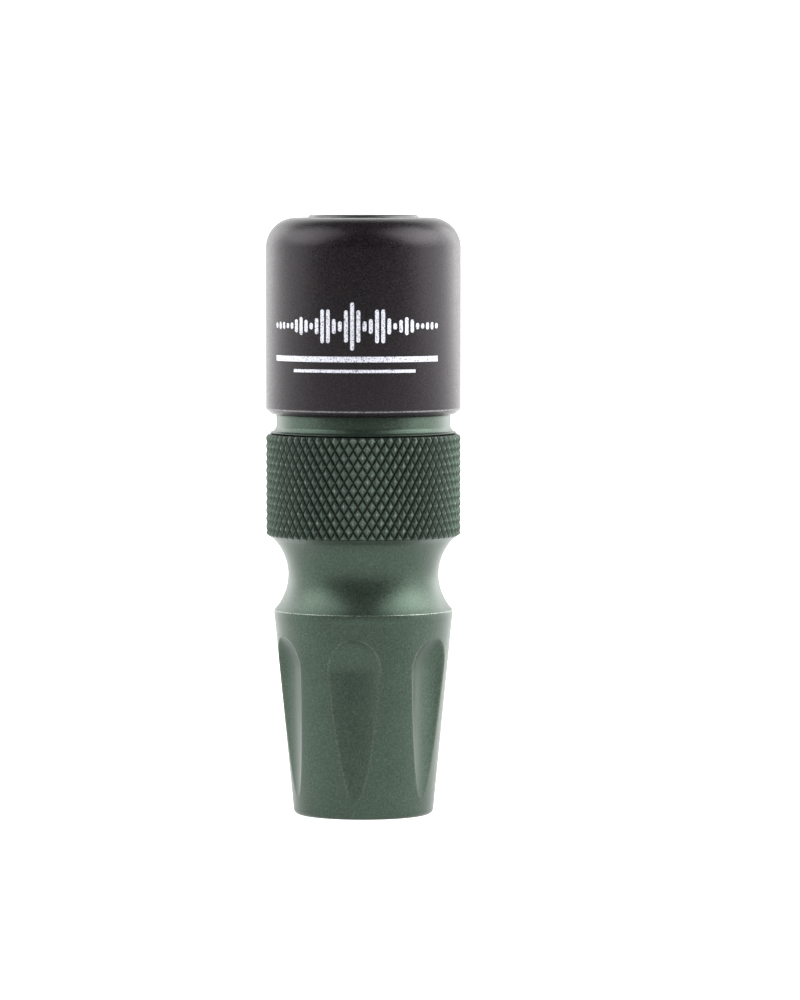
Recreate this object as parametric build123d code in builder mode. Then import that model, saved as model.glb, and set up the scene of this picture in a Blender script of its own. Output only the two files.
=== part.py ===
from build123d import *

import os
from math import atan2, cos, pi, sin, tan

# Hand-held grunt tube call, stood on its fluted exhaust end with the mouthpiece at the top.
#
# Frame: millimetres, +Z up along the call's own axis, origin at the centre of the exhaust end's
# flat face, front of the call towards -Y. A turned aluminium barrel carries a screwed-in neck.
# The neck carries a mouthpiece pushed on over two O-rings, and a reed cartridge plugged into
# its bore. The knurl's diamonds are surface detail on the plain band that is modelled here.

os.makedirs("parts", exist_ok=True)

# ---------------------------------------------------------------- driving dimensions (mm)
STOCK_R = 31.75 / 2  # turned from 1.25 inch bar
FIT = 0.02  # gap between faces that rest on each other across a joint
PAST = 0.5  # how far a cutter runs past the surface that it opens

# barrel outside, from the exhaust end up
FOOT_R = 11.35
FOOT_ROUND = 0.9
CONE_TOP_R = 14.5
CONE_TOP_Z = 32.0
LAND_R = 14.6
LAND_LOW_Z = 32.3
LAND_HIGH_Z = 33.35
WAIST_R = 12.3
WAIST_TOP_Z = 44.85
KNURL_LOW_Z = 45.8
KNURL_HIGH_Z = 61.6
KNURL_BEVEL = 0.4
BARREL_TOP_Z = 62.0

# flutes milled up the cone by a ball-ended cutter
FLUTES = 6
FLUTE_CUTTER_R = 7.3
FLUTE_FLOOR_R = 11.65
FLUTE_END_Z = 23.8  # the ball's centre at the top of its stroke
FLUTE_FIRST_DEG = 263.5

# barrel inside
EXHAUST_R = 8.5
EXHAUST_BEVEL = 0.5
SOCKET_FLOOR_Z = 51.0
NUT_R = 12.0  # crest of the internal thread
NUT_ROOT_R = 12.85
SEAL_POCKET_R = 14.1
SEAL_POCKET_Z = 60.6
SEAL_SECTION_R = 0.68
SEAL_MEAN_R = 13.35

# thread, right hand; the nut's ridge runs half a pitch off the screw's, with slack all round
PITCH = 1.5
SCREW_LOW_Z = 53.5
SCREW_TURNS = 4
NUT_TURNS = 4.45
NUT_START_DEG = 10  # where the internal thread's first turn begins
SCREW_CORE_R = 11.75
SCREW_CREST_R = 12.6
SCREW_CREST_HALF = 0.15
NUT_CREST_HALF = 0.24
THREAD_SLOPE = 0.4  # growth of the half width per mm of depth
ROOT_SINK = 0.15  # how far a ridge's root is sunk into the wall that carries it

# neck
SPIGOT_LOW_Z = 51.5
SPIGOT_BEVEL = 0.4
FLARE_R = 15.1
FLARE_EDGE_Z = 62.25
FLARE_ROUND = 0.9
NECK_R = 14.2
NECK_STEP_Z = 65.3
SLEEVE_R = 13.2  # the length of neck that the mouthpiece slides over
NECK_TOP_Z = 84.0
NECK_TOP_BEVEL = 0.35
CHAMBER_R = 11.0
SEAT_R = 10.0
SEAT_TOP_Z = 68.0
NECK_RING_ZS = {"lower": 71.0, "upper": 79.5}
NECK_RING_FLOOR_R = 12.1
NECK_RING_SECTION_R = 0.6
NECK_GROOVE_WIDTH = 1.6

# mouthpiece
LINER_BORE_R = 13.35
LINER_R = 14.3
LINER_STEP_Z = 86.0
DOME_LOW_Z = 89.1
THROAT_R = 12.6
MOUTH_R = 8.0
LIP_R = 9.0
LIP_TOP_Z = 97.6
LIP_ROUND = 0.3
GRIP_TOP_Z = 97.2
GRIP_CORNER_R = 4.9
GRIP_BEVEL_RUN = 1.05
GRIP_BEVEL_RISE = 0.7

# reed cartridge
HOLDER_R = 9.94
HOLDER_LOW_Z = 54.5
HOLDER_TOP_Z = 69.5
HOLDER_FLANGE_R = 10.7
HOLDER_BEVEL = 0.3
HOLDER_RING_ZS = {"lower": 59.6, "upper": 64.6}
HOLDER_RING_FLOOR_R = 8.9
HOLDER_RING_MEAN_R = 9.42
HOLDER_RING_SECTION_R = 0.5
HOLDER_GROOVE_WIDTH = 1.3
SOCKET_R = 5.2
SOCKET_Z = 58.0
PASSAGE_R = 4.2
HORN_R = 8.0
BOARD_ROOT_R = 5.18
BOARD_R = 4.9
BOARD_TIP_Z = 92.8
BOARD_TIP_ROUND = 1.5
FACING_Y = -0.6  # the flat that the reed lies on
FACING_RELIEF = 1.1  # how far the facing falls away from the reed by the tip
FACING_BEND_Z = 72.0
TROUGH_WIDTH = 5.0
TROUGH_FLOOR_Y = 2.6
TROUGH_TIP_Z = 90.0
TROUGH_TIP_ROUND = 2.4
REED_WIDTH = 8.8
REED_THICK = 0.3
REED_LOW_Z = 58.5
REED_TIP_Z = 92.4
REED_TIP_ROUND = 2.4
WEDGE_TOP_Z = 71.0
WEDGE_BEVEL = 0.6
TUNING_Z = 78.0
TUNING_HEIGHT = 1.7
TUNING_THICK = 1.4
TUNING_SLACK = 0.05


def save(built, name):
    """Labels a finished piece and writes its STEP file."""
    built.part.label = name
    export_step(built.part, f"parts/{name}.step")


def save_ring(name, mean_r, section_r, z):
    """Writes one O-ring that lies level at height z."""
    with BuildPart() as o_ring:
        with BuildSketch(Plane.XZ):
            with Locations((mean_r, z)):
                Circle(section_r)
        revolve(axis=Axis.Z)
    save(o_ring, name)


def thread_coil(root_r, crest_r, crest_half, low_z, turns):
    """Returns one helical ridge whose section starts on the XZ plane, centred at low_z."""
    root_half = crest_half + THREAD_SLOPE * abs(crest_r - root_r)
    with BuildPart() as coil:
        with BuildLine() as path:
            Helix(PITCH, turns * PITCH, root_r, center=(0, 0, low_z))
        with BuildSketch(Plane.XZ):
            with BuildLine():
                Polyline(
                    (root_r, low_z - root_half),
                    (crest_r, low_z - crest_half),
                    (crest_r, low_z + crest_half),
                    (root_r, low_z + root_half),
                    close=True,
                )
            make_face()
        sweep(path=path.line, is_frenet=True)
    return coil.part


# ---------------------------------------------------------------- barrel
# one milling stroke is a cylinder with a ball end, parallel to the call's axis; its profile is
# drawn on the side that faces the axis, so the flute's floor line divides each flute
with BuildPart() as stroke:
    with BuildSketch(Plane.XZ):
        with BuildLine():
            Polyline(
                (0, FLUTE_END_Z + FLUTE_CUTTER_R),
                (0, -FLUTE_CUTTER_R),
                (-FLUTE_CUTTER_R, -FLUTE_CUTTER_R),
                (-FLUTE_CUTTER_R, FLUTE_END_Z),
            )
            TangentArc(
                (-FLUTE_CUTTER_R, FLUTE_END_Z),
                (0, FLUTE_END_Z + FLUTE_CUTTER_R),
                tangent=(0, 1),
            )
        make_face()
    revolve(axis=Axis.Z)

nut_coil = thread_coil(
    NUT_ROOT_R + ROOT_SINK,
    NUT_R,
    NUT_CREST_HALF,
    SCREW_LOW_Z - PITCH / 2 + PITCH * NUT_START_DEG / 360,
    NUT_TURNS,
)

# the foot's rounding is tangent to the flat face and to the cone
cone_tilt = atan2(CONE_TOP_R - FOOT_R, CONE_TOP_Z)
foot_reach = FOOT_ROUND * tan((pi / 2 - cone_tilt) / 2)
foot_start = (FOOT_R - foot_reach, 0)
foot_end = (FOOT_R + foot_reach * sin(cone_tilt), foot_reach * cos(cone_tilt))

with BuildPart() as barrel:
    with BuildSketch(Plane.XZ):
        with BuildLine():
            Polyline((EXHAUST_R, EXHAUST_BEVEL), (EXHAUST_R + EXHAUST_BEVEL, 0), foot_start)
            TangentArc(foot_start, foot_end, tangent=(1, 0))
            Polyline(
                foot_end,
                (CONE_TOP_R, CONE_TOP_Z),
                (LAND_R, LAND_LOW_Z),
                (LAND_R, LAND_HIGH_Z),
            )
            ThreePointArc(
                (LAND_R, LAND_HIGH_Z),
                (WAIST_R, (LAND_HIGH_Z + WAIST_TOP_Z) / 2),
                (LAND_R, WAIST_TOP_Z),
            )
            Polyline(
                (LAND_R, WAIST_TOP_Z),
                (STOCK_R, KNURL_LOW_Z),
                (STOCK_R, KNURL_HIGH_Z),
                (STOCK_R - KNURL_BEVEL, BARREL_TOP_Z),
                (SEAL_POCKET_R, BARREL_TOP_Z),
                (SEAL_POCKET_R, SEAL_POCKET_Z),
                (NUT_ROOT_R, SEAL_POCKET_Z),
                (NUT_ROOT_R, SOCKET_FLOOR_Z),
                (EXHAUST_R, SOCKET_FLOOR_Z),
                (EXHAUST_R, EXHAUST_BEVEL),
            )
        make_face()
    revolve(axis=Axis.Z)
    add(nut_coil, rotation=(0, 0, NUT_START_DEG))
    with PolarLocations(FLUTE_FLOOR_R + FLUTE_CUTTER_R, FLUTES, start_angle=FLUTE_FIRST_DEG):
        add(stroke.part, mode=Mode.SUBTRACT)
save(barrel, "barrel")

save_ring("barrel_seal_ring", SEAL_MEAN_R, SEAL_SECTION_R, SEAL_POCKET_Z + FIT + SEAL_SECTION_R)

# ---------------------------------------------------------------- neck
screw_coil = thread_coil(
    SCREW_CORE_R - ROOT_SINK,
    SCREW_CREST_R,
    SCREW_CREST_HALF,
    SCREW_LOW_Z,
    SCREW_TURNS,
)

with BuildPart() as neck:
    with BuildSketch(Plane.XZ):
        with BuildLine():
            Polyline(
                (FLARE_R, FLARE_EDGE_Z),
                (FLARE_R, BARREL_TOP_Z + FIT),
                (SCREW_CREST_R, BARREL_TOP_Z + FIT),
                (SCREW_CREST_R, SEAL_POCKET_Z + SCREW_CREST_R - SCREW_CORE_R),
                (SCREW_CORE_R, SEAL_POCKET_Z),
                (SCREW_CORE_R, SPIGOT_LOW_Z + SPIGOT_BEVEL),
                (SCREW_CORE_R - SPIGOT_BEVEL, SPIGOT_LOW_Z),
                (SEAT_R, SPIGOT_LOW_Z),
                (SEAT_R, SEAT_TOP_Z),
                (CHAMBER_R, SEAT_TOP_Z),
                (CHAMBER_R, NECK_TOP_Z),
                (SLEEVE_R, NECK_TOP_Z),
                (SLEEVE_R, NECK_STEP_Z - FIT),
                (NECK_R, NECK_STEP_Z - FIT),
                (NECK_R, FLARE_EDGE_Z + FLARE_ROUND),
            )
            TangentArc(
                (NECK_R, FLARE_EDGE_Z + FLARE_ROUND),
                (FLARE_R, FLARE_EDGE_Z),
                tangent=(0, -1),
            )
        make_face()
    revolve(axis=Axis.Z)
    chamfer(neck.edges().group_by(Axis.Z)[-1], NECK_TOP_BEVEL)
    add(screw_coil)
    with BuildSketch(Plane.XZ):
        for ring_z in NECK_RING_ZS.values():
            with Locations(((NECK_RING_FLOOR_R + SLEEVE_R + PAST) / 2, ring_z)):
                Rectangle(SLEEVE_R + PAST - NECK_RING_FLOOR_R, NECK_GROOVE_WIDTH)
    revolve(axis=Axis.Z, mode=Mode.SUBTRACT)
save(neck, "threaded_neck")

for place, ring_z in NECK_RING_ZS.items():
    neck_ring_mean_r = (NECK_RING_FLOOR_R + LINER_BORE_R) / 2
    save_ring(f"neck_o_ring_{place}", neck_ring_mean_r, NECK_RING_SECTION_R, ring_z)

# ---------------------------------------------------------------- mouthpiece
dome_edge_z = DOME_LOW_Z + LINER_R - LIP_R

with BuildPart() as liner:
    with BuildSketch(Plane.XZ):
        with BuildLine():
            Polyline(
                (LINER_R, DOME_LOW_Z),
                (LINER_R, NECK_STEP_Z),
                (LINER_BORE_R, NECK_STEP_Z),
                (LINER_BORE_R, LINER_STEP_Z),
                (THROAT_R, LINER_STEP_Z),
                (THROAT_R, DOME_LOW_Z),
            )
            TangentArc(
                (THROAT_R, DOME_LOW_Z),
                (MOUTH_R, DOME_LOW_Z + THROAT_R - MOUTH_R),
                tangent=(0, 1),
            )
            Polyline(
                (MOUTH_R, DOME_LOW_Z + THROAT_R - MOUTH_R),
                (MOUTH_R, LIP_TOP_Z),
                (LIP_R, LIP_TOP_Z),
                (LIP_R, dome_edge_z),
            )
            TangentArc((LIP_R, dome_edge_z), (LINER_R, DOME_LOW_Z), tangent=(1, 0))
        make_face()
    revolve(axis=Axis.Z)
    fillet(liner.edges().group_by(Axis.Z)[-1], LIP_ROUND)
save(liner, "mouthpiece_liner")

with BuildPart() as grip:
    with BuildSketch(Plane.XZ):
        with BuildLine():
            TangentArc((LIP_R, dome_edge_z), (LINER_R, DOME_LOW_Z), tangent=(1, 0))
            Polyline(
                (LINER_R, DOME_LOW_Z),
                (LINER_R, NECK_STEP_Z),
                (STOCK_R - GRIP_BEVEL_RUN, NECK_STEP_Z),
                (STOCK_R, NECK_STEP_Z + GRIP_BEVEL_RISE),
                (STOCK_R, GRIP_TOP_Z - GRIP_CORNER_R),
            )
            TangentArc(
                (STOCK_R, GRIP_TOP_Z - GRIP_CORNER_R),
                (STOCK_R - GRIP_CORNER_R, GRIP_TOP_Z),
                tangent=(0, 1),
            )
            Polyline(
                (STOCK_R - GRIP_CORNER_R, GRIP_TOP_Z),
                (LIP_R, GRIP_TOP_Z),
                (LIP_R, dome_edge_z),
            )
        make_face()
    revolve(axis=Axis.Z)
save(grip, "mouthpiece_grip")

# ---------------------------------------------------------------- reed cartridge
with BuildPart() as holder:
    with BuildSketch(Plane.XZ):
        with BuildLine():
            Polyline(
                (HORN_R, HOLDER_LOW_Z),
                (HOLDER_R, HOLDER_LOW_Z),
                (HOLDER_R, SEAT_TOP_Z + FIT),
                (HOLDER_FLANGE_R, SEAT_TOP_Z + FIT),
                (HOLDER_FLANGE_R, HOLDER_TOP_Z - HOLDER_BEVEL),
                (HOLDER_FLANGE_R - HOLDER_BEVEL, HOLDER_TOP_Z),
                (SOCKET_R, HOLDER_TOP_Z),
                (SOCKET_R, SOCKET_Z),
                (PASSAGE_R, SOCKET_Z),
                close=True,
            )
        make_face()
    revolve(axis=Axis.Z)
    with BuildSketch(Plane.XZ):
        for ring_z in HOLDER_RING_ZS.values():
            with Locations(((HOLDER_RING_FLOOR_R + HOLDER_R + PAST) / 2, ring_z)):
                Rectangle(HOLDER_R + PAST - HOLDER_RING_FLOOR_R, HOLDER_GROOVE_WIDTH)
    revolve(axis=Axis.Z, mode=Mode.SUBTRACT)
save(holder, "reed_holder")

for place, ring_z in HOLDER_RING_ZS.items():
    save_ring(f"holder_o_ring_{place}", HOLDER_RING_MEAN_R, HOLDER_RING_SECTION_R, ring_z)

with BuildPart() as board:
    with BuildSketch(Plane.XY.offset(SOCKET_Z + FIT)):
        Circle(BOARD_ROOT_R)
    extrude(amount=HOLDER_TOP_Z - SOCKET_Z - FIT)
    with BuildSketch(Plane.XY.offset(HOLDER_TOP_Z)):
        Circle(BOARD_R)
    extrude(amount=BOARD_TIP_Z - HOLDER_TOP_Z)
    fillet(board.edges().group_by(Axis.Z)[-1], BOARD_TIP_ROUND)
    # the facing is flat along the root, then curves away from the reed
    with BuildSketch(Plane.YZ):
        with BuildLine():
            Polyline(
                (FACING_Y + FACING_RELIEF, BOARD_TIP_Z + PAST),
                (-BOARD_ROOT_R - PAST, BOARD_TIP_Z + PAST),
                (-BOARD_ROOT_R - PAST, SOCKET_Z - PAST),
                (FACING_Y, SOCKET_Z - PAST),
                (FACING_Y, FACING_BEND_Z),
            )
            TangentArc(
                (FACING_Y, FACING_BEND_Z),
                (FACING_Y + FACING_RELIEF, BOARD_TIP_Z + PAST),
                tangent=(0, 1),
            )
        make_face()
    extrude(amount=BOARD_ROOT_R + PAST, both=True, mode=Mode.SUBTRACT)
    # the sound trough is open at the root and round-ended at the tip
    with BuildSketch(Plane.XZ.offset(-TROUGH_FLOOR_Y)) as trough:
        with Locations((0, (SOCKET_Z - PAST + TROUGH_TIP_Z) / 2)):
            Rectangle(TROUGH_WIDTH, TROUGH_TIP_Z - SOCKET_Z + PAST)
        fillet(trough.vertices().group_by(Axis.Y)[-1], TROUGH_TIP_ROUND)
    extrude(amount=TROUGH_FLOOR_Y + BOARD_ROOT_R, mode=Mode.SUBTRACT)
save(board, "tone_board")

with BuildPart() as reed:
    with BuildSketch(Plane.XZ.offset(-FACING_Y)) as blade:
        with Locations((0, (REED_LOW_Z + REED_TIP_Z) / 2)):
            Rectangle(REED_WIDTH, REED_TIP_Z - REED_LOW_Z)
        fillet(blade.vertices().group_by(Axis.Y)[-1], REED_TIP_ROUND)
    extrude(amount=REED_THICK)
save(reed, "reed")

with BuildPart() as wedge:
    with BuildSketch(Plane.XY.offset(REED_LOW_Z)):
        Circle(BOARD_ROOT_R)
        with Locations((0, FACING_Y - REED_THICK + BOARD_ROOT_R)):
            Rectangle(2 * BOARD_ROOT_R, 2 * BOARD_ROOT_R, mode=Mode.SUBTRACT)
    extrude(amount=WEDGE_TOP_Z - REED_LOW_Z)
    chamfer(wedge.faces().sort_by(Axis.Z)[-1].edges().filter_by(GeomType.CIRCLE), WEDGE_BEVEL)
save(wedge, "reed_wedge")

with BuildPart() as tuning:
    with BuildSketch(Plane.XY.offset(TUNING_Z - TUNING_HEIGHT / 2)) as band:
        Circle(BOARD_R + TUNING_SLACK)
        with Locations((0, FACING_Y - REED_THICK - TUNING_SLACK - BOARD_R)):
            Rectangle(3 * BOARD_R, 2 * BOARD_R, mode=Mode.SUBTRACT)
        hole = band.sketch
        offset(amount=TUNING_THICK)
        add(hole, mode=Mode.SUBTRACT)
    extrude(amount=TUNING_HEIGHT)
save(tuning, "tuning_ring")
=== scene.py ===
"""Looks for a hand-held grunt tube call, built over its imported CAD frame.

Every length in the shape code is in millimetres on the call's own frame (+Z up the axis, front
towards -Y), and becomes metres when a mesh is made. Sizes repeat the CAD model's dimensions.
"""

import math

import bmesh
import bpy
import numpy as np
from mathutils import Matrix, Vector


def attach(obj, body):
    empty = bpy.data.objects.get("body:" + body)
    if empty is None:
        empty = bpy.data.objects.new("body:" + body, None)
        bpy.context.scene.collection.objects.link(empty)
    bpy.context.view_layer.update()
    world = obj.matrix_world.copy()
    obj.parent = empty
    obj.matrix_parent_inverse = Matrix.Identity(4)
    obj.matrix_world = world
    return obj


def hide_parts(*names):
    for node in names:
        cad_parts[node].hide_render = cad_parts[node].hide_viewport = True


MM = 0.001
TURN = 2 * math.pi

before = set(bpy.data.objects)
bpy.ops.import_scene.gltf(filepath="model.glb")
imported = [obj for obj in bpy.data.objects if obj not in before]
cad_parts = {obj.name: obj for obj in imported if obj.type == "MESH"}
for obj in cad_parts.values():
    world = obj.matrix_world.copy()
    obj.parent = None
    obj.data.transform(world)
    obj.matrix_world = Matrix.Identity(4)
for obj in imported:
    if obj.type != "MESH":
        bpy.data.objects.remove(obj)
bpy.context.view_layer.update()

# ------------------------------------------------------------------ dimensions shared with the CAD model
STOCK_R = 15.875
FOOT_R = 11.35
FOOT_ROUND = 0.9
CONE_TOP_R = 14.5
CONE_TOP_Z = 32.0
LAND_R = 14.6
LAND_HIGH_Z = 33.35
WAIST_R = 12.3
WAIST_TOP_Z = 44.85
KNURL_LOW_Z = 45.8
KNURL_HIGH_Z = 61.6
KNURL_BEVEL = 0.4
BARREL_TOP_Z = 62.0
FLUTES = 6
FLUTE_CUTTER_R = 7.3
FLUTE_FLOOR_R = 11.65
FLUTE_END_Z = 23.8
FLUTE_FIRST = math.radians(263.5)
EXHAUST_R = 8.5
SOCKET_FLOOR_Z = 51.0
NUT_R = 12.0
NUT_ROOT_R = 12.85
SEAL_POCKET_R = 14.1
SEAL_POCKET_Z = 60.6
PITCH = 1.5
SCREW_LOW_Z = 53.5
SCREW_CORE_R = 11.75
SCREW_CREST_R = 12.6
THREAD_SLOPE = 0.4
NUT_START = math.radians(10)
SPIGOT_LOW_Z = 51.5
NECK_R = 14.2
NECK_STEP_Z = 65.3
SLEEVE_R = 13.2
NECK_TOP_Z = 84.0
CHAMBER_R = 11.0
SEAT_R = 10.0
SEAT_TOP_Z = 68.0
NECK_RING_ZS = (71.0, 79.5)
NECK_RING_FLOOR_R = 12.1
LINER_BORE_R = 13.35
LINER_R = 14.3
LINER_STEP_Z = 86.0
DOME_LOW_Z = 89.1
THROAT_R = 12.6
MOUTH_R = 8.0
LIP_R = 9.0
LIP_TOP_Z = 97.6
GRIP_TOP_Z = 97.2
GRIP_CORNER_R = 4.9

# surface detail that only the looks carry
KNURL_TEETH = 66
KNURL_DEPTH = 0.42
KNURL_TIP = 0.86  # the diamonds' tips are worn flat above this share of their height
KNURL_AXIAL = TURN * STOCK_R / KNURL_TEETH / math.tan(math.radians(30))
KNURL_PHASE = math.radians(272.16)  # direction of one diamond's tip
KNURL_TIP_Z = 60.03  # height of that tip
KNURL_STEPS = 8  # mesh columns to one tooth
KNURL_ROW_GAP = 0.04  # lattice rows closer than this to a fixed row are left out
EDGE_SOFT = 0.2  # half width of the softened edge round each flute
CONE_END_Z = CONE_TOP_Z - 0.12  # the cone's own rows end just under the rounding of its land
NUT_TURNS = 4.45
NUT_CREST_HALF = 0.24
SCREW_TURNS = 4
SCREW_CREST_HALF = 0.15
GRIP_STEPS = 192  # mesh columns round the grip and its liner
INK_ROOT_R = STOCK_R - 0.02  # the ink starts just under the grip's surface
INK_TOP_R = STOCK_R + 0.03
PRINT_MIDDLE = STOCK_R * math.radians(263.5)  # arc length to the middle of the print

# material slots after a piece's first
EDGE_SLOT, SHOULDER_SLOT, KNURL_SLOT = 1, 2, 3


# ------------------------------------------------------------------ mesh helpers
class Shell:
    """Collects patches of a surface in millimetres; coincident points are joined at the end."""

    def __init__(self):
        self.points = []
        self.faces = []
        self.slots = []
        self.size = 0

    def add(self, points, faces, slots=None):
        self.points.append(np.asarray(points, float).reshape(-1, 3))
        self.faces += [tuple(self.size + i for i in f) for f in faces]
        self.slots += slots or [0] * len(faces)
        self.size += len(self.points[-1])

    def rings(self, rows, painted_highlight_columns=(), slot=EDGE_SLOT):
        """Joins closed rows of equally many points into quads; the columns given for a painted highlight
        take another material.
        """
        rows = np.asarray(rows, float)
        n_rows, n_cols = rows.shape[:2]
        faces, slots = [], []
        for j in range(n_rows - 1):
            for i in range(n_cols):
                k = (i + 1) % n_cols
                faces.append((j * n_cols + i, j * n_cols + k, (j + 1) * n_cols + k, (j + 1) * n_cols + i))
                slots.append(slot if i in painted_highlight_columns else 0)
        self.add(rows, faces, slots)

    def stitch(self, low, high):
        """Joins two level rings with different numbers of points, both in order of angle."""
        low, high = np.asarray(low, float), np.asarray(high, float)
        a = np.mod(np.arctan2(low[:, 1], low[:, 0]), TURN)
        b = np.mod(np.arctan2(high[:, 1], high[:, 0]), TURN)
        low, a = np.roll(low, -int(a.argmin()), 0), np.roll(a, -int(a.argmin()))
        high, b = np.roll(high, -int(b.argmin()), 0), np.roll(b, -int(b.argmin()))
        n, m = len(low), len(high)
        a, b = np.append(a, a[0] + TURN), np.append(b, b[0] + TURN)
        faces, i, j = [], 0, 0
        while i < n or j < m:
            if j >= m or (i < n and a[i + 1] <= b[j + 1]):
                faces.append((i % n, (i + 1) % n, n + j % m))
                i += 1
            else:
                faces.append((i % n, n + (j + 1) % m, n + j % m))
                j += 1
        self.add(np.vstack([low, high]), faces)

    def lathe(self, profile, angles, painted_highlight_columns=(), slot=EDGE_SLOT):
        """Turns a profile of (radius, height) points about Z at the given angles."""
        angles = np.asarray(angles)
        rows = [
            np.column_stack([r * np.cos(angles), r * np.sin(angles), np.full(len(angles), z)])
            for r, z in profile
        ]
        self.rings(rows, painted_highlight_columns=painted_highlight_columns, slot=slot)

    def ridge(self, wall_r, crest_r, crest_half, low_z, turns, start=0.0, sink=0.1, steps=96):
        """Adds a helical thread ridge that grows out of a wall and fades back at both ends."""
        count = int(turns * steps) + 1
        rows = []
        for k in range(count):
            t = k / steps
            # full height is reached a ninth of a turn in from either end
            fade = min(1.0, (t + 0.004) * 9, (turns - t + 0.004) * 9)
            tip_r = wall_r + (crest_r - wall_r) * fade
            inner_r = wall_r + math.copysign(sink, wall_r - crest_r)
            root_half = crest_half + THREAD_SLOPE * abs(crest_r - wall_r)
            half = root_half + (crest_half - root_half) * fade
            z = low_z + PITCH * t
            section = [(inner_r, -root_half), (wall_r, -root_half), (tip_r, -half), (tip_r, half)]
            section += [(wall_r, root_half), (inner_r, root_half)]
            c, s = math.cos(TURN * t + start), math.sin(TURN * t + start)
            rows.append([(r * c, r * s, z + dz) for r, dz in section])
        self.rings(rows)
        base = len(rows) * 6 - 6
        self.add(np.reshape(rows, (-1, 3)), [tuple(range(6)), tuple(range(base, base + 6))])

    def object(self, name, smooth_deg=32.0):
        """Makes the closed mesh object, in metres, with edges sharper than smooth_deg kept sharp."""
        mesh = bpy.data.meshes.new(name)
        mesh.from_pydata((np.vstack(self.points) * MM).tolist(), [], self.faces)
        mesh.polygons.foreach_set("material_index", self.slots)
        bm = bmesh.new()
        bm.from_mesh(mesh)
        bmesh.ops.remove_doubles(bm, verts=bm.verts, dist=2e-7)
        bmesh.ops.dissolve_degenerate(bm, dist=1e-7, edges=bm.edges)
        bmesh.ops.recalc_face_normals(bm, faces=bm.faces)
        bm.to_mesh(mesh)
        bm.free()
        mesh.shade_smooth()
        mesh.set_sharp_from_angle(angle=math.radians(smooth_deg))
        piece = bpy.data.objects.new(name, mesh)
        bpy.context.scene.collection.objects.link(piece)
        return piece


def rounded(corners, steps=5):
    """Replaces each corner (radius, height, rounding) of a profile with an arc of that rounding."""
    out = []
    for k, (r, z, rounding) in enumerate(corners):
        here = Vector((r, z))
        if rounding <= 0 or k in (0, len(corners) - 1):
            out.append((r, z))
            continue
        back = (Vector(corners[k - 1][:2]) - here).normalized()
        ahead = (Vector(corners[k + 1][:2]) - here).normalized()
        half = back.angle(ahead) / 2
        reach = rounding / math.tan(half)
        centre = here + (back + ahead).normalized() * rounding / math.sin(half)
        start, end = here + back * reach - centre, here + ahead * reach - centre
        for n in range(steps + 1):
            sweep = start.angle_signed(end) * n / steps
            c, s = math.cos(-sweep), math.sin(-sweep)
            spoke = Vector((start.x * c - start.y * s, start.x * s + start.y * c))
            out.append(tuple(centre + spoke))
    return out


def arc(centre, radius, start_deg, end_deg, steps):
    """Points of an arc in the (radius, height) plane."""
    return [
        (centre[0] + radius * math.cos(math.radians(d)), centre[1] + radius * math.sin(math.radians(d)))
        for d in np.linspace(start_deg, end_deg, steps + 1)
    ]


def even(count, phase=0.0):
    return phase + np.arange(count) * TURN / count


# ------------------------------------------------------------------ barrel
def cone_r(z):
    return FOOT_R + (CONE_TOP_R - FOOT_R) * z / CONE_TOP_Z


CUTTER_AXIS = FLUTE_FLOOR_R + FLUTE_CUTTER_R


def cutter_half(z):
    """Radius of the ball-ended cutter's section at height z."""
    return math.sqrt(max(0.0, FLUTE_CUTTER_R**2 - max(0.0, z - FLUTE_END_Z) ** 2))


def flute_r(theta, z):
    """Distance from the axis to the flute's floor, theta away from its centre line."""
    return CUTTER_AXIS * math.cos(theta) - math.sqrt(
        max(0.0, cutter_half(z) ** 2 - (CUTTER_AXIS * math.sin(theta)) ** 2)
    )


def flute_edge(z):
    """Angle from the flute's centre line to its edge on the cone, or 0 where there is no flute."""
    r, h = cone_r(z), cutter_half(z)
    c = (r * r + CUTTER_AXIS**2 - h * h) / (2 * r * CUTTER_AXIS)
    return math.acos(c) if c < 1 else 0.0


def flute_top():
    low, high = FLUTE_END_Z, FLUTE_END_Z + FLUTE_CUTTER_R
    for _ in range(50):
        mid = (low + high) / 2
        low, high = (mid, high) if flute_edge(mid) > 0 else (low, mid)
    return low


LAND_STEPS = 22
FLUTE_STEPS = 16


def cone_row(z):
    """One level ring of the fluted cone, sector by sector: flute, soft edge, land, soft edge."""
    edge = flute_edge(z)
    soft = EDGE_SOFT / cone_r(z)
    soft *= min(1.0, edge / (4 * soft))
    sector = TURN / FLUTES
    row = []
    for k in range(FLUTES):
        mid = FLUTE_FIRST + k * sector

        def at(theta, r):
            return Vector((r * math.cos(mid + theta), r * math.sin(mid + theta), z))

        def bend(inner, outer, corner, order):
            """Two points of the rounding from the flute's side to the land's side."""
            shares = (1 / 3, 2 / 3) if order > 0 else (2 / 3, 1 / 3)
            return [inner * (1 - t) ** 2 + corner * 2 * t * (1 - t) + outer * t * t for t in shares]

        span = edge - soft
        for s in np.linspace(-1, 1, FLUTE_STEPS + 1):
            theta = span * s
            row.append(at(theta, flute_r(theta, z) if edge > 0 else cone_r(z)))
        land_low, land_high = edge + soft, sector - edge - soft
        row += bend(row[-1], at(land_low, cone_r(z)), at(edge, cone_r(z)), 1)
        row += [at(t, cone_r(z)) for t in np.linspace(land_low, land_high, LAND_STEPS + 1)]
        next_side = at(sector - span, flute_r(-span, z) if edge > 0 else cone_r(z))
        row += bend(next_side, at(land_high, cone_r(z)), at(sector - edge, cone_r(z)), -1)
    return row


def knurl_envelope(z):
    """Radius that the knurled band's bevels leave at height z."""
    low = LAND_R + (STOCK_R - LAND_R) * (z - WAIST_TOP_Z) / (KNURL_LOW_Z - WAIST_TOP_Z)
    high = STOCK_R - (z - KNURL_HIGH_Z) * KNURL_BEVEL / (BARREL_TOP_Z - KNURL_HIGH_Z)
    return min(STOCK_R, low, high)


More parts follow.
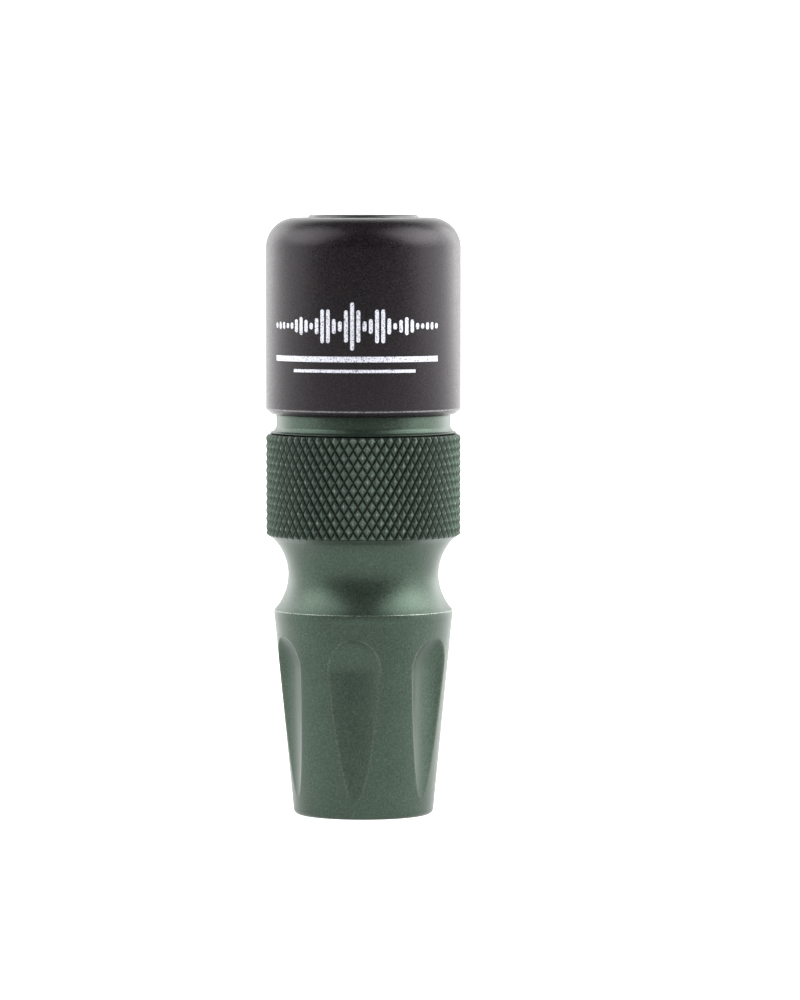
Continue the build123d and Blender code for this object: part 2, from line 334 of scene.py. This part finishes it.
def knurl_waves(angle, z):
    """The two crossing families of V grooves: 0 in a groove, 1 midway between two."""
    along = (angle - KNURL_PHASE) / TURN * KNURL_TEETH + 0.5
    up = (z - KNURL_TIP_Z) / KNURL_AXIAL
    return tuple(1 - abs(2 * (w - math.floor(w)) - 1) for w in (along + up, along - up))


def knurl_band(shell):
    """The knurled band, with its mesh on the grooves' own lattice. Returns its end rings."""
    root_r = STOCK_R - KNURL_DEPTH
    low_z = WAIST_TOP_Z + (KNURL_LOW_Z - WAIST_TOP_Z) * (root_r - LAND_R) / (STOCK_R - LAND_R)
    step = KNURL_AXIAL / KNURL_STEPS
    first = math.ceil((low_z - KNURL_TIP_Z) / step)
    last = math.floor((BARREL_TOP_Z - KNURL_TIP_Z) / step)
    zs = [low_z, KNURL_LOW_Z, KNURL_HIGH_Z, BARREL_TOP_Z]
    zs += [
        z
        for z in (KNURL_TIP_Z + k * step for k in range(first, last + 1))
        if min(abs(z - fixed) for fixed in zs) > KNURL_ROW_GAP
    ]
    zs.sort()
    count = KNURL_TEETH * KNURL_STEPS
    angles = even(count, KNURL_PHASE)
    rows = []
    for z in zs:
        row = []
        for angle in angles:
            share = min(min(knurl_waves(angle, z)) / KNURL_TIP, 1.0)
            r = min(root_r + KNURL_DEPTH * share, knurl_envelope(z))
            row.append((r * math.cos(angle), r * math.sin(angle), z))
        rows.append(row)
    faces = []
    for j in range(len(zs) - 1):
        mid_z = (zs[j] + zs[j + 1]) / 2
        for i in range(count):
            k = (i + 1) % count
            a, b, c, d = j * count + i, j * count + k, (j + 1) * count + k, (j + 1) * count + i
            rising, falling = knurl_waves(angles[i] + TURN / count / 2, mid_z)
            if rising < falling:
                faces += [(a, b, d), (b, c, d)]
            else:
                faces += [(a, b, c), (a, c, d)]
    shell.add(rows, faces, [KNURL_SLOT] * len(faces))
    return rows[0], rows[-1]


def make_barrel():
    shell = Shell()
    low_tip = (FLUTE_FLOOR_R - FOOT_R) / (CONE_TOP_R - FOOT_R) * CONE_TOP_Z
    high_tip = flute_top()
    tilt = math.atan2(CONE_TOP_R - FOOT_R, CONE_TOP_Z)
    reach = FOOT_ROUND * math.tan((math.pi / 2 - tilt) / 2)
    foot_z = reach * math.cos(tilt)
    zs = list(np.linspace(foot_z, low_tip, 4)[:-1])
    zs += [low_tip + (high_tip - low_tip) * (1 - math.cos(math.pi * t)) / 2 for t in np.linspace(0, 1, 60)]
    zs += list(np.linspace(high_tip, CONE_END_Z, 5)[1:])
    sector = FLUTE_STEPS + LAND_STEPS + 6
    # the columns along each flute's soft edges take a lighter finish, a painted highlight
    painted_highlight_columns = {k * sector + FLUTE_STEPS + n for k in range(FLUTES) for n in (0, 1, 2)}
    painted_highlight_columns |= {k * sector + sector - n for k in range(FLUTES) for n in (1, 2, 3)}
    low_part = [z for z in zs if z < low_tip]
    shell.rings([cone_row(z) for z in low_part + [low_tip]])
    shell.rings([cone_row(z) for z in zs if low_tip <= z <= high_tip], painted_highlight_columns=painted_highlight_columns)
    shell.rings([cone_row(z) for z in zs if z >= high_tip])

    # the plain turned lengths share the cone's columns, phased on the flutes
    columns = even(FLUTES * LAND_STEPS, FLUTE_FIRST)
    foot_bore_r = EXHAUST_R + 0.55
    foot = [(foot_bore_r, 0), (FOOT_R - reach, 0)]
    foot += arc((FOOT_R - reach, FOOT_ROUND), FOOT_ROUND, -90, -math.degrees(tilt), 8)[1:]
    shell.lathe(foot, columns)
    waist_mid = (LAND_HIGH_Z + WAIST_TOP_Z) / 2
    half_chord = (WAIST_TOP_Z - LAND_HIGH_Z) / 2
    sag = LAND_R - WAIST_R
    waist_arc_r = (half_chord**2 + sag**2) / (2 * sag)
    open_deg = math.degrees(math.asin(half_chord / waist_arc_r))
    waist = arc((WAIST_R + waist_arc_r, waist_mid), waist_arc_r, 180 + open_deg, 180 - open_deg, 36)
    land = rounded(
        [
            (cone_r(CONE_END_Z), CONE_END_Z, 0),
            (LAND_R, CONE_TOP_Z + 0.3, 5.0),
            (LAND_R, LAND_HIGH_Z, 0.14),
            (*waist[1], 0),
        ],
        4,
    )
    profile = land + waist[2:]
    # the strip of painted highlight runs from just under the shoulder's edge to just over it
    first = next(n for n, (_, z) in enumerate(profile) if z > LAND_HIGH_Z - 0.2)
    last = next(n for n, (_, z) in enumerate(profile) if z > LAND_HIGH_Z + 0.04)
    shell.lathe(profile[: first + 1], columns)
    shell.lathe(profile[first : last + 1], columns, painted_highlight_columns=range(len(columns)), slot=SHOULDER_SLOT)
    shell.lathe(profile[last:], columns)
    low_ring, high_ring = knurl_band(shell)
    waist_ring = [(LAND_R * math.cos(a), LAND_R * math.sin(a), WAIST_TOP_Z) for a in columns]
    shell.stitch(waist_ring, low_ring)
    pocket_r = SEAL_POCKET_R + 0.1
    inside = rounded(
        [
            (pocket_r, BARREL_TOP_Z, 0),
            (SEAL_POCKET_R, BARREL_TOP_Z - 0.1, 0),
            (SEAL_POCKET_R, SEAL_POCKET_Z, 0.1),
            (NUT_ROOT_R + 0.1, SEAL_POCKET_Z, 0),
            (NUT_ROOT_R, SEAL_POCKET_Z - 0.1, 0),
            (NUT_ROOT_R, SOCKET_FLOOR_Z, 0.15),
            (EXHAUST_R + 0.2, SOCKET_FLOOR_Z, 0),
            (EXHAUST_R, SOCKET_FLOOR_Z - 0.2, 0),
            (EXHAUST_R, 0.5, 0.3),
            (foot_bore_r, 0, 0),
        ],
        4,
    )
    shell.lathe(inside, columns)
    pocket_ring = [(pocket_r * math.cos(a), pocket_r * math.sin(a), BARREL_TOP_Z) for a in columns]
    shell.stitch(pocket_ring, high_ring)
    nut_low_z = SCREW_LOW_Z - PITCH / 2 + PITCH * NUT_START / TURN
    shell.ridge(NUT_ROOT_R, NUT_R, NUT_CREST_HALF, nut_low_z, NUT_TURNS, NUT_START)
    return shell.object("barrel_turned")


barrel = make_barrel()
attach(barrel, "barrel")
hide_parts("barrel")


# ------------------------------------------------------------------ neck
def make_neck():
    shell = Shell()
    base_z = BARREL_TOP_Z + 0.02
    face_z = base_z + 0.12
    step_z = NECK_STEP_Z - 0.02
    flare = [
        (SCREW_CREST_R, face_z, 0),
        (15.0, face_z, 0.06),
        (15.25, base_z + 0.3, 0.06),
        (14.62, base_z + 0.52, 0.5),
        (NECK_R, base_z + 1.15, 0.6),
        (NECK_R, step_z, 0.12),
        (SLEEVE_R, step_z, 0.1),
    ]
    sleeve = []
    for z in NECK_RING_ZS:
        sleeve += [
            (SLEEVE_R, z - 0.8, 0.1),
            (NECK_RING_FLOOR_R, z - 0.8, 0.1),
            (NECK_RING_FLOOR_R, z + 0.8, 0.1),
            (SLEEVE_R, z + 0.8, 0.1),
        ]
    inside = [
        (SLEEVE_R, NECK_TOP_Z - 0.35, 0.1),
        (SLEEVE_R - 0.35, NECK_TOP_Z, 0.1),
        (CHAMBER_R + 0.35, NECK_TOP_Z, 0.1),
        (CHAMBER_R, NECK_TOP_Z - 0.35, 0.1),
        (CHAMBER_R, SEAT_TOP_Z, 0.15),
        (SEAT_R, SEAT_TOP_Z, 0.1),
        (SEAT_R, SPIGOT_LOW_Z, 0.1),
        (SCREW_CORE_R - 0.4, SPIGOT_LOW_Z, 0.08),
        (SCREW_CORE_R, SPIGOT_LOW_Z + 0.4, 0.08),
        (SCREW_CORE_R, SEAL_POCKET_Z, 0.2),
        (SCREW_CREST_R, SEAL_POCKET_Z + SCREW_CREST_R - SCREW_CORE_R, 0.15),
    ]
    columns = even(180)
    outline = rounded(flare + sleeve + inside + [(SCREW_CREST_R, face_z, 0)], 4)
    shell.lathe(outline, columns)
    shell.ridge(SCREW_CORE_R, SCREW_CREST_R, SCREW_CREST_HALF, SCREW_LOW_Z, SCREW_TURNS)
    return shell.object("neck_turned")


neck = make_neck()
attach(neck, "neck")
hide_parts("threaded_neck")


# ------------------------------------------------------------------ mouthpiece
def make_grip():
    shell = Shell()
    corner = GRIP_TOP_Z - GRIP_CORNER_R
    columns = even(GRIP_STEPS)
    crest = [
        (STOCK_R - back, NECK_STEP_Z + up)
        for back, up in ((0.1, 0.72), (0.02, 0.82), (0.0, 0.90), (0.03, 0.98))
    ]
    under = rounded(
        [
            (LINER_R, NECK_STEP_Z + 0.1, 0),
            (LINER_R + 0.1, NECK_STEP_Z, 0),
            (STOCK_R - 0.95, NECK_STEP_Z, 0.12),
            (*crest[0], 0),
        ],
        4,
    )
    shell.lathe(under, columns)
    # the crest of the lower edge takes a paler finish, a painted highlight
    shell.lathe(crest, columns, painted_highlight_columns=range(GRIP_STEPS))
    outside = [crest[-1], (STOCK_R, NECK_STEP_Z + 1.1), (STOCK_R, corner)]
    outside += arc((STOCK_R - GRIP_CORNER_R, corner), GRIP_CORNER_R, 0, 90, 28)[1:]
    outside += [(LIP_R + 0.12, GRIP_TOP_Z), (LIP_R, GRIP_TOP_Z - 0.12)]
    dome = LINER_R - LIP_R
    inner = [(LIP_R, DOME_LOW_Z + dome)]
    inner += arc((LIP_R, DOME_LOW_Z), dome, 90, 0, 14)[1:]
    inner += [(LINER_R, NECK_STEP_Z + 0.1)]
    shell.lathe(outside + inner, columns)
    return shell.object("mouthpiece_grip_skin")


def make_liner():
    shell = Shell()
    dome = LINER_R - LIP_R
    throat = THROAT_R - MOUTH_R
    profile = rounded(
        [
            (LINER_R, DOME_LOW_Z, 0),
            (LINER_R, NECK_STEP_Z, 0.1),
            (LINER_BORE_R, NECK_STEP_Z, 0.3),
            (LINER_BORE_R, LINER_STEP_Z, 0.2),
            (THROAT_R, LINER_STEP_Z, 0.15),
            (THROAT_R, DOME_LOW_Z, 0),
        ],
        4,
    )
    profile += arc((MOUTH_R, DOME_LOW_Z), throat, 0, 90, 16)[1:]
    profile += rounded(
        [
            (MOUTH_R, DOME_LOW_Z + throat + 0.3, 0),
            (MOUTH_R, LIP_TOP_Z, 0.4),
            (LIP_R, LIP_TOP_Z, 0.4),
            (LIP_R, DOME_LOW_Z + dome + 0.1, 0),
        ],
        6,
    )
    profile += arc((LIP_R, DOME_LOW_Z), dome, 90, 0, 14)
    shell.lathe(profile, even(GRIP_STEPS))
    return shell.object("mouthpiece_liner_sleeve")


grip = make_grip()
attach(grip, "mouthpiece")
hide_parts("mouthpiece_grip")
liner = make_liner()
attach(liner, "mouthpiece")
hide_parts("mouthpiece_liner")


# ------------------------------------------------------------------ printed motif
def ink_patch(shell, outline):
    """Adds a thin closed slab wrapped on the grip. outline is (arc length, height) points in order."""
    n = len(outline)
    points = [
        (r * math.cos(s / STOCK_R), r * math.sin(s / STOCK_R), z)
        for r in (INK_ROOT_R, INK_TOP_R)
        for s, z in outline
    ]
    faces = [tuple(range(n, 2 * n)), tuple(reversed(range(n)))]
    faces += [(i, (i + 1) % n, n + (i + 1) % n, n + i) for i in range(n)]
    shell.add(points, faces)


def ink_stripe(shell, z, reach, height, columns=72):
    """Adds one level stripe wrapped on the grip, with square ends."""
    section = [(INK_ROOT_R, -0.5), (INK_TOP_R, -0.5), (INK_TOP_R, 0.5), (INK_ROOT_R, 0.5)]
    rows = []
    for s in np.linspace(PRINT_MIDDLE - reach, PRINT_MIDDLE + reach, columns + 1):
        c, n = math.cos(s / STOCK_R), math.sin(s / STOCK_R)
        rows.append([(r * c, r * n, z + height * share) for r, share in section])
    shell.rings(rows)
    base = 4 * columns
    shell.add(np.reshape(rows, (-1, 3)), [(0, 1, 2, 3), (base, base + 1, base + 2, base + 3)])


def bar(s, low, high, width, steps=6):
    """Outline of an upright bar with round ends."""
    half = width / 2

    def end(z, start):
        sweep = np.linspace(start, start + math.pi, steps + 1)
        return [(s + half * math.cos(t), z + half * math.sin(t)) for t in sweep]

    return end(high - half, 0) + end(low + half, math.pi)


def make_print():
    """A plain sound-wave motif over two stripes, in white ink."""
    shell = Shell()
    mid_z = 79.9
    count = 31  # bars, 1 mm apart
    for k in range(count):
        x = k - (count - 1) / 2
        swell = math.exp(-((x / 8.5) ** 2))
        beat = 0.55 + 0.45 * math.cos(x * 1.35)
        half = 0.35 + 3.5 * swell * beat
        ink_patch(shell, bar(PRINT_MIDDLE + x, mid_z - half, mid_z + half, 0.62))
    for z, reach, height in ((74.6, 15.3, 0.9), (72.7, 10.6, 0.5)):
        ink_stripe(shell, z, reach, height)
    return shell.object("printed_motif", 20)


motif = make_print()
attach(motif, "mouthpiece")


# ------------------------------------------------------------------ materials
def shade(name, **inputs):
    material = bpy.data.materials.new(name)
    material.use_nodes = True
    tree = material.node_tree
    shader = tree.nodes["Principled BSDF"]
    for key, value in inputs.items():
        shader.inputs[key.replace("_", " ")].default_value = value
    return material, tree, shader


def node(tree, kind, **values):
    made = tree.nodes.new(kind)
    for key, value in values.items():
        if hasattr(made, key):
            setattr(made, key, value)
        else:
            made.inputs[key.replace("_", " ")].default_value = value
    return made


def noise(tree, scale, detail=3.0, rough=0.5, stretch=(1, 1, 1)):
    """Noise in the object's own millimetres, so that a scale of 1 has features about 1 mm across."""
    coords = tree.nodes.new("ShaderNodeTexCoord")
    mapping = tree.nodes.new("ShaderNodeMapping")
    mapping.inputs["Scale"].default_value = [1000 * s for s in stretch]
    made = node(tree, "ShaderNodeTexNoise", Scale=scale, Detail=detail, Roughness=rough)
    tree.links.new(coords.outputs["Object"], mapping.inputs["Vector"])
    tree.links.new(mapping.outputs["Vector"], made.inputs["Vector"])
    return made.outputs["Fac"]


def ramp(tree, source, stops):
    made = tree.nodes.new("ShaderNodeValToRGB")
    elements = made.color_ramp.elements
    while len(elements) < len(stops):
        elements.new(0.5)
    for element, (place, colour) in zip(elements, stops):
        element.position = place
        element.color = (*colour, 1)
    tree.links.new(source, made.inputs["Fac"])
    return made.outputs["Color"]


def grey(value):
    return (value, value, value)


def bump(tree, shader, layers):
    """Chains bump nodes; each layer is (height source, distance in mm, strength)."""
    previous = None
    for source, distance, strength in layers:
        made = node(tree, "ShaderNodeBump", Strength=strength, Distance=distance * MM)
        tree.links.new(source, made.inputs["Height"])
        if previous is not None:
            tree.links.new(previous, made.inputs["Normal"])
        previous = made.outputs["Normal"]
    tree.links.new(previous, shader.inputs["Normal"])


def axis_distance(tree, low_r, high_r):
    """0 to 1 as the distance from the call's axis grows from low_r to high_r, in millimetres."""
    coords = tree.nodes.new("ShaderNodeTexCoord")
    flat = node(tree, "ShaderNodeVectorMath", operation="MULTIPLY")
    flat.inputs[1].default_value = (1, 1, 0)
    tree.links.new(coords.outputs["Object"], flat.inputs[0])
    length = node(tree, "ShaderNodeVectorMath", operation="LENGTH")
    tree.links.new(flat.outputs["Vector"], length.inputs[0])
    depth = tree.nodes.new("ShaderNodeMapRange")
    depth.inputs["From Min"].default_value = low_r * MM
    depth.inputs["From Max"].default_value = high_r * MM
    tree.links.new(length.outputs["Value"], depth.inputs["Value"])
    return depth.outputs["Result"]


def mixed(tree, mode, amount, low, high):
    """Colour mix; amount, low and high are sockets or plain values."""
    made = node(tree, "ShaderNodeMix", data_type="RGBA", blend_type=mode)
    for socket, value in ((made.inputs["Factor"], amount), (made.inputs[6], low), (made.inputs[7], high)):
        if hasattr(value, "is_output"):
            tree.links.new(value, socket)
        else:
            socket.default_value = value
    return made.outputs[2]


def green_material(name, stretch, low_rough, high_rough, knurled=False):
    """Bead-blasted aluminium, anodised olive green: fine grain, faint dye variation, satin."""
    material, tree, shader = shade(name, Metallic=0.7, IOR=1.4)
    grain = noise(tree, 3.6, 2, 0.6)
    colour = ramp(
        tree,
        grain,
        [(0.3, (0.025, 0.040, 0.0285)), (0.52, (0.036, 0.055, 0.041)), (0.72, (0.052, 0.075, 0.057))],
    )
    dye = ramp(tree, noise(tree, 0.18, 3, 0.5), [(0.35, grey(0.93)), (0.65, grey(1.0))])
    colour = mixed(tree, "MULTIPLY", 1.0, colour, dye)
    if knurled:
        # painted shade darkens the knurl towards the roots of its grooves, and painted glints lighten its
        # flattened tips
        depth = axis_distance(tree, STOCK_R - KNURL_DEPTH, STOCK_R - 0.02)
        shadow = ramp(tree, depth, [(0.0, grey(0.08)), (0.2, grey(0.45)), (0.42, grey(1.0))])
        colour = mixed(tree, "MULTIPLY", 1.0, colour, shadow)
        glints = ramp(tree, noise(tree, 1.9, 2, 0.6), [(0.50, grey(0.12)), (0.62, grey(1.0))])
        high = ramp(tree, depth, [(0.8, grey(0.0)), (0.95, grey(1.0))])
        tips = mixed(tree, "MULTIPLY", 1.0, high, glints)
        colour = mixed(tree, "MIX", tips, colour, (0.12, 0.145, 0.122, 1.0))
    tree.links.new(colour, shader.inputs["Base Color"])
    gloss = ramp(tree, grain, [(0.3, grey(low_rough)), (0.7, grey(high_rough))])
    tree.links.new(gloss, shader.inputs["Roughness"])
    lines = noise(tree, 1.0, 2, 0.6, stretch)
    fine = noise(tree, 6.5, 2, 0.6)
    bump(tree, shader, [(grain, 0.03, 0.35), (fine, 0.02, 0.3), (lines, 0.02, 0.3)])
    return material


def edge_material(name, dark, light):
    """The same finish, lighter and a little glossier, as a painted highlight along a sharp edge."""
    material, tree, shader = shade(name, Metallic=0.75, IOR=1.4)
    grain = noise(tree, 3.6, 2, 0.6)
    tree.links.new(ramp(tree, grain, [(0.35, dark), (0.65, light)]), shader.inputs["Base Color"])
    tree.links.new(ramp(tree, grain, [(0.3, grey(0.30)), (0.7, grey(0.40))]), shader.inputs["Roughness"])
    bump(tree, shader, [(noise(tree, 6.5, 2, 0.6), 0.02, 0.3)])
    return material


def grip_edge_material():
    """The over-mould's lower edge, paler as a painted highlight."""
    material, tree, shader = shade("soft_touch_edge", IOR=1.4)
    grain = noise(tree, 3.0, 3, 0.7)
    colour = ramp(tree, grain, [(0.35, (0.03, 0.028, 0.03)), (0.65, (0.16, 0.15, 0.16))])
    tree.links.new(colour, shader.inputs["Base Color"])
    tree.links.new(ramp(tree, grain, [(0.3, grey(0.36)), (0.7, grey(0.5))]), shader.inputs["Roughness"])
    bump(tree, shader, [(grain, 0.03, 0.4)])
    return material


def grip_material():
    """Soft-touch black over-mould with a fine spark-eroded grain."""
    material, tree, shader = shade("soft_touch_black", IOR=1.3, Specular_Tint=(1.0, 0.93, 0.99, 1.0))
    grain = noise(tree, 4.2, 3, 0.65)
    colour = ramp(
        tree,
        grain,
        [
            (0.36, (0.0025, 0.0018, 0.0023)),
            (0.54, (0.0062, 0.0049, 0.0059)),
            (0.68, (0.0175, 0.0145, 0.0168)),
        ],
    )
    tree.links.new(colour, shader.inputs["Base Color"])
    tree.links.new(ramp(tree, grain, [(0.35, grey(0.25)), (0.65, grey(0.39))]), shader.inputs["Roughness"])
    bump(tree, shader, [(grain, 0.05, 0.6), (noise(tree, 0.5, 3, 0.6), 0.02, 0.2)])
    return material


def ink_material():
    """Grey-white pad-print ink that the grain underneath breaks up."""
    material, tree, shader = shade("grey_white_ink", Roughness=0.6)
    grain = noise(tree, 4.5, 3, 0.7)
    colour = ramp(
        tree,
        grain,
        [(0.37, (0.05, 0.05, 0.055)), (0.44, (0.46, 0.47, 0.53)), (0.58, (0.62, 0.63, 0.70))],
    )
    tree.links.new(colour, shader.inputs["Base Color"])
    bump(tree, shader, [(grain, 0.03, 0.4)])
    return material


def plastic_material(name, dark, light, low_rough, high_rough, scale=3.0, **inputs):
    """Moulded plastic or rubber: two close colours, a fine grain and uneven gloss."""
    material, tree, shader = shade(name, **inputs)
    grain = noise(tree, scale, 3, 0.55)
    tree.links.new(ramp(tree, grain, [(0.3, dark), (0.7, light)]), shader.inputs["Base Color"])
    gloss = ramp(tree, noise(tree, 0.4, 2, 0.5), [(0.3, grey(low_rough)), (0.7, grey(high_rough))])
    tree.links.new(gloss, shader.inputs["Roughness"])
    bump(tree, shader, [(grain, 0.02, 0.3)])
    return material


green_barrel = green_material("green_anodised", (0.3, 0.3, 5.0), 0.34, 0.44)
green_neck = green_material("green_anodised_turned", (0.02, 0.02, 7.0), 0.34, 0.44)
liner_black = plastic_material("liner_black", grey(0.010), grey(0.020), 0.30, 0.42, 4.0)
seal_rubber = plastic_material("seal_rubber", grey(0.008), grey(0.018), 0.40, 0.55, 6.0)
holder_plastic = plastic_material("holder_plastic", grey(0.016), grey(0.026), 0.25, 0.35, 2.0)
board_plastic = plastic_material("board_plastic", grey(0.022), grey(0.034), 0.22, 0.34, 2.0)
reed_film = plastic_material(
    "reed_film", (0.60, 0.58, 0.48), (0.70, 0.68, 0.58), 0.18, 0.28, 1.2, Transmission_Weight=0.35
)
wedge_cork = plastic_material("wedge_cork", (0.16, 0.09, 0.04), (0.42, 0.27, 0.14), 0.75, 0.9, 1.8)
tuning_rubber = plastic_material("tuning_rubber", grey(0.012), grey(0.022), 0.45, 0.6, 5.0)

# painted highlight: the lighter finishes of the flute edges and the shoulder's edge
flute_edge = edge_material("flute_edge", (0.030, 0.044, 0.031), (0.060, 0.080, 0.060))
shoulder_edge_highlight = edge_material("shoulder_edge_highlight", (0.035, 0.050, 0.036), (0.24, 0.28, 0.24))
green_knurled = green_material("green_knurled", (0.3, 0.3, 3.0), 0.46, 0.58, knurled=True)

for piece, materials in (
    (barrel, (green_barrel, flute_edge, shoulder_edge_highlight, green_knurled)),
    (neck, (green_neck,)),
    (grip, (grip_material(), grip_edge_material())),
    (liner, (liner_black,)),
    (motif, (ink_material(),)),
):
    for material in materials:
        piece.data.materials.append(material)
for name, material in (
    ("barrel_seal_ring", seal_rubber),
    ("neck_o_ring_lower", seal_rubber),
    ("neck_o_ring_upper", seal_rubber),
    ("holder_o_ring_lower", seal_rubber),
    ("holder_o_ring_upper", seal_rubber),
    ("reed_holder", holder_plastic),
    ("tone_board", board_plastic),
    ("reed", reed_film),
    ("reed_wedge", wedge_cork),
    ("tuning_ring", tuning_rubber),
):
    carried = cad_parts[name]
    if not carried.data.materials:
        carried.data.materials.append(material)
    for slot in carried.material_slots:
        slot.material = material


# ------------------------------------------------------------------ stage, light and camera
def make_stage():
    """A pale sweep: flat floor that curves up behind the call. It glows, a painted light that is faintest
    on the stretch in front of the call and brightest behind it.
    """
    width, front, back, radius, height = 2.4, -2.2, 1.1, 0.6, 1.9
    line = [(front, 0.0), (back, 0.0)]
    line += [
        (back + radius * math.sin(t), radius - radius * math.cos(t))
        for t in np.linspace(0, math.pi / 2, 13)[1:]
    ]
    line += [(back + radius, height)]
    points = [(x, y, z) for y, z in line for x in (-width, width)]
    faces = [(2 * k, 2 * k + 1, 2 * k + 3, 2 * k + 2) for k in range(len(line) - 1)]
    mesh = bpy.data.meshes.new("sweep")
    mesh.from_pydata(points, [], faces)
    mesh.shade_smooth()
    sweep = bpy.data.objects.new("sweep", mesh)
    bpy.context.scene.collection.objects.link(sweep)
    material, tree, shader = shade("sweep_white", Roughness=0.9)
    shader.inputs["Base Color"].default_value = (0.48, 0.48, 0.48, 1)
    shader.inputs["Emission Color"].default_value = (1, 1, 1, 1)
    coords = tree.nodes.new("ShaderNodeTexCoord")
    split = tree.nodes.new("ShaderNodeSeparateXYZ")
    tree.links.new(coords.outputs["Object"], split.inputs["Vector"])
    reach = tree.nodes.new("ShaderNodeMapRange")
    reach.inputs["From Min"].default_value = front
    reach.inputs["From Max"].default_value = back
    tree.links.new(split.outputs["Y"], reach.inputs["Value"])
    # (distance behind the call, glow): a ramp stops at 1, so the glow is halved here and doubled after
    stops = [(-1.3, 0.9), (-0.9, 0.2), (-0.46, 0.2), (-0.2, 0.72), (0.2, 1.6)]
    glow_stops = [((y - front) / (back - front), grey(power / 2)) for y, power in stops]
    glow = ramp(tree, reach.outputs["Result"], glow_stops)
    double = node(tree, "ShaderNodeMath", operation="MULTIPLY")
    double.inputs[1].default_value = 2.0
    tree.links.new(glow, double.inputs[0])
    tree.links.new(double.outputs["Value"], shader.inputs["Emission Strength"])
    mesh.materials.append(material)


def area_light(name, place, size, power):
    """A rectangular light that faces the call's middle."""
    light = bpy.data.lights.new(name, "AREA")
    light.shape = "RECTANGLE"
    light.size, light.size_y = size
    light.energy = power
    lamp = bpy.data.objects.new(name, light)
    lamp.location = place
    lamp.rotation_euler = (Vector((0, 0, 0.05)) - Vector(place)).to_track_quat("-Z", "Y").to_euler()
    bpy.context.scene.collection.objects.link(lamp)


make_stage()
for name, place, size, power in (
    ("left_panel", (-0.80, 0.06, 0.30), (0.9, 1.0), 7.0),
    ("right_panel", (0.80, 0.02, 0.30), (0.9, 1.0), 10.5),
    ("left_kicker", (-0.62, 0.60, 0.22), (0.5, 0.8), 3.0),
    ("right_kicker", (0.62, 0.58, 0.22), (0.5, 0.8), 4.5),
    ("upper_left_box", (-0.66, -0.14, 0.64), (0.85, 0.85), 9.5),
    ("upper_right_box", (0.68, -0.12, 0.64), (0.85, 0.85), 13.5),
):
    area_light(name, place, size, power)

world = bpy.data.worlds.new("studio")
world.use_nodes = True
world.node_tree.nodes["Background"].inputs["Color"].default_value = (1, 1, 1, 1)
world.node_tree.nodes["Background"].inputs["Strength"].default_value = 0.06
bpy.context.scene.world = world
bpy.context.scene.view_settings.view_transform = "Standard"

SENSOR_WIDTH = 36.0  # mm, over the picture's longer side
VIEW_HEIGHT = 0.1629  # m, seen at the call's axis

camera_data = bpy.data.cameras.new("camera")
camera = bpy.data.objects.new("camera", camera_data)
bpy.context.scene.collection.objects.link(camera)
camera.location = (0.0, -0.977, 0.1063)
aim = Vector((0.00596, 0.0, 0.0512))
camera.rotation_euler = (aim - camera.location).to_track_quat("-Z", "Y").to_euler()
camera_data.sensor_width = SENSOR_WIDTH
camera_data.lens = SENSOR_WIDTH * (aim - camera.location).length / VIEW_HEIGHT
camera_data.clip_start = 0.01
camera_data.clip_end = 20.0
bpy.context.scene.camera = camera
